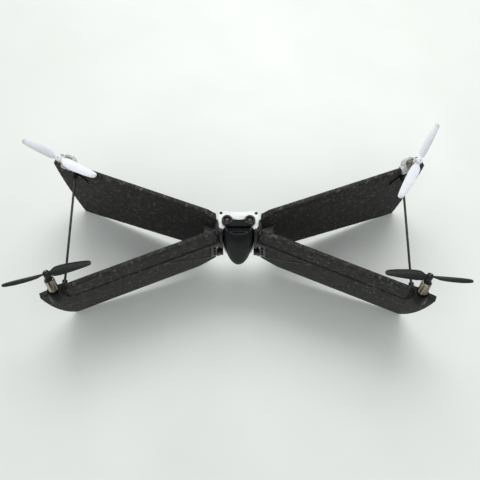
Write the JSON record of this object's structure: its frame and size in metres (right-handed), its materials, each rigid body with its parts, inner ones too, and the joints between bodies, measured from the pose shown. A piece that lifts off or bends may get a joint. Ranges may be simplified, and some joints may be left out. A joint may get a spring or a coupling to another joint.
{
  "type": "tail-sitting quadrotor wing drone",
  "caption": "Small X-wing tail-sitting drone with foam wings, tilted tip motors and propellers, a slide-out battery and a sprung button.",
  "frame": {"origin": "on the fuselage axis, on the plane that the four wing tips stand on", "axes": "+Z is the flight axis (nose up), +X runs out along the span to the right, +Y points to the belly side with the power button"},
  "size_m": [0.3765, 0.1512, 0.1117],
  "materials": {
    "charcoal_foam": "moulded bead foam, matte",
    "black_plastic": "fine satin moulding",
    "white_plastic": "smooth gloss moulding",
    "wire_sleeve": "soft sleeve",
    "motor_steel": "drawn can, fine turning marks",
    "cap_plastic": "moulded",
    "shaft_steel": "ground",
    "white_blade": "smooth thin moulding",
    "black_blade": "satin thin moulding",
    "carbon_rod": "pultruded rod",
    "clear_lens": "clear dome",
    "gloss_black": "smooth gloss moulding",
    "matte_black": "fine matte moulding",
    "battery_plastic": "moulded",
    "cell_foil": "laminated pouch",
    "circuit_board": "solder mask",
    "contact_brass": "plated",
    "socket_steel": "plated shell",
    "button_rubber": "matte",
    "screw_steel": "blackened",
    "sensor_aluminium": "anodised can",
    "camera_lens": "polished window"
  },
  "bodies": {
    "root": {"foam_wing_front_right": "charcoal_foam", "wing_bracket_front_right": "black_plastic", "motor_mount_front_right": "white_plastic", "motor_wires_front_right": "wire_sleeve", "motor_can_front_right": "motor_steel", "motor_cap_front_right": "cap_plastic", "foam_wing_front_left": "charcoal_foam", "wing_bracket_front_left": "black_plastic", "motor_mount_front_left": "white_plastic", "motor_wires_front_left": "wire_sleeve", "motor_can_front_left": "motor_steel", "motor_cap_front_left": "cap_plastic", "foam_wing_rear_right": "charcoal_foam", "wing_bracket_rear_right": "black_plastic", "motor_mount_rear_right": "black_plastic", "motor_wires_rear_right": "wire_sleeve", "motor_can_rear_right": "motor_steel", "motor_cap_rear_right": "cap_plastic", "foam_wing_rear_left": "charcoal_foam", "wing_bracket_rear_left": "black_plastic", "motor_mount_rear_left": "black_plastic", "motor_wires_rear_left": "wire_sleeve", "motor_can_rear_left": "motor_steel", "motor_cap_rear_left": "cap_plastic", "strut_left": "carbon_rod", "eye_lens_left": "clear_lens", "side_frame_left": "black_plastic", "front_frame_left": "white_plastic", "strut_right": "carbon_rod", "eye_lens_right": "clear_lens", "side_frame_right": "black_plastic", "front_frame_right": "white_plastic", "strut_clips": "black_plastic", "belly_shell": "white_plastic", "face_plate": "white_plastic", "nose_cover": "gloss_black", "dorsal_shell": "matte_black", "main_board": "circuit_board", "battery_contacts": "contact_brass", "usb_socket": "socket_steel", "button_switch": "cap_plastic", "plate_screws": "screw_steel", "sonar_sensors": "sensor_aluminium", "floor_camera": "camera_lens"},
    "battery": {"battery_case": "battery_plastic", "battery_cell": "cell_foil"},
    "power_button": {"power_button": "button_rubber"},
    "rotor_front_right": {"propeller_front_right": "white_blade", "motor_shaft_front_right": "shaft_steel"},
    "rotor_front_left": {"propeller_front_left": "white_blade", "motor_shaft_front_left": "shaft_steel"},
    "rotor_rear_right": {"propeller_rear_right": "black_blade", "motor_shaft_rear_right": "shaft_steel"},
    "rotor_rear_left": {"propeller_rear_left": "black_blade", "motor_shaft_rear_left": "shaft_steel"}
  },
  "joints": [
    {"name": "rotor_spin_front_right", "type": "hinge", "parent": "root", "child": "rotor_front_right", "pos_m": [0.15242, 0.05226, 0.10178], "axis": [0.1355, -0.3493, 0.9272], "continuous": true},
    {"name": "rotor_spin_front_left", "type": "hinge", "parent": "root", "child": "rotor_front_left", "pos_m": [-0.15242, 0.05226, 0.10178], "axis": [-0.1355, -0.3493, 0.9272], "continuous": true},
    {"name": "rotor_spin_rear_right", "type": "hinge", "parent": "root", "child": "rotor_rear_right", "pos_m": [0.15242, -0.05226, 0.10178], "axis": [0.1355, 0.3493, 0.9272], "continuous": true},
    {"name": "rotor_spin_rear_left", "type": "hinge", "parent": "root", "child": "rotor_rear_left", "pos_m": [-0.15242, -0.05226, 0.10178], "axis": [-0.1355, 0.3493, 0.9272], "continuous": true},
    {"name": "battery_slide", "type": "slide", "parent": "root", "child": "battery", "axis": [0, 0, 1], "range_m": [0, 0.042]},
    {"name": "power_button_press", "type": "slide", "parent": "root", "child": "power_button", "axis": [0, -1, 0], "range_m": [0, 0.0006], "stiffness_N_per_m": 800}
  ]
}
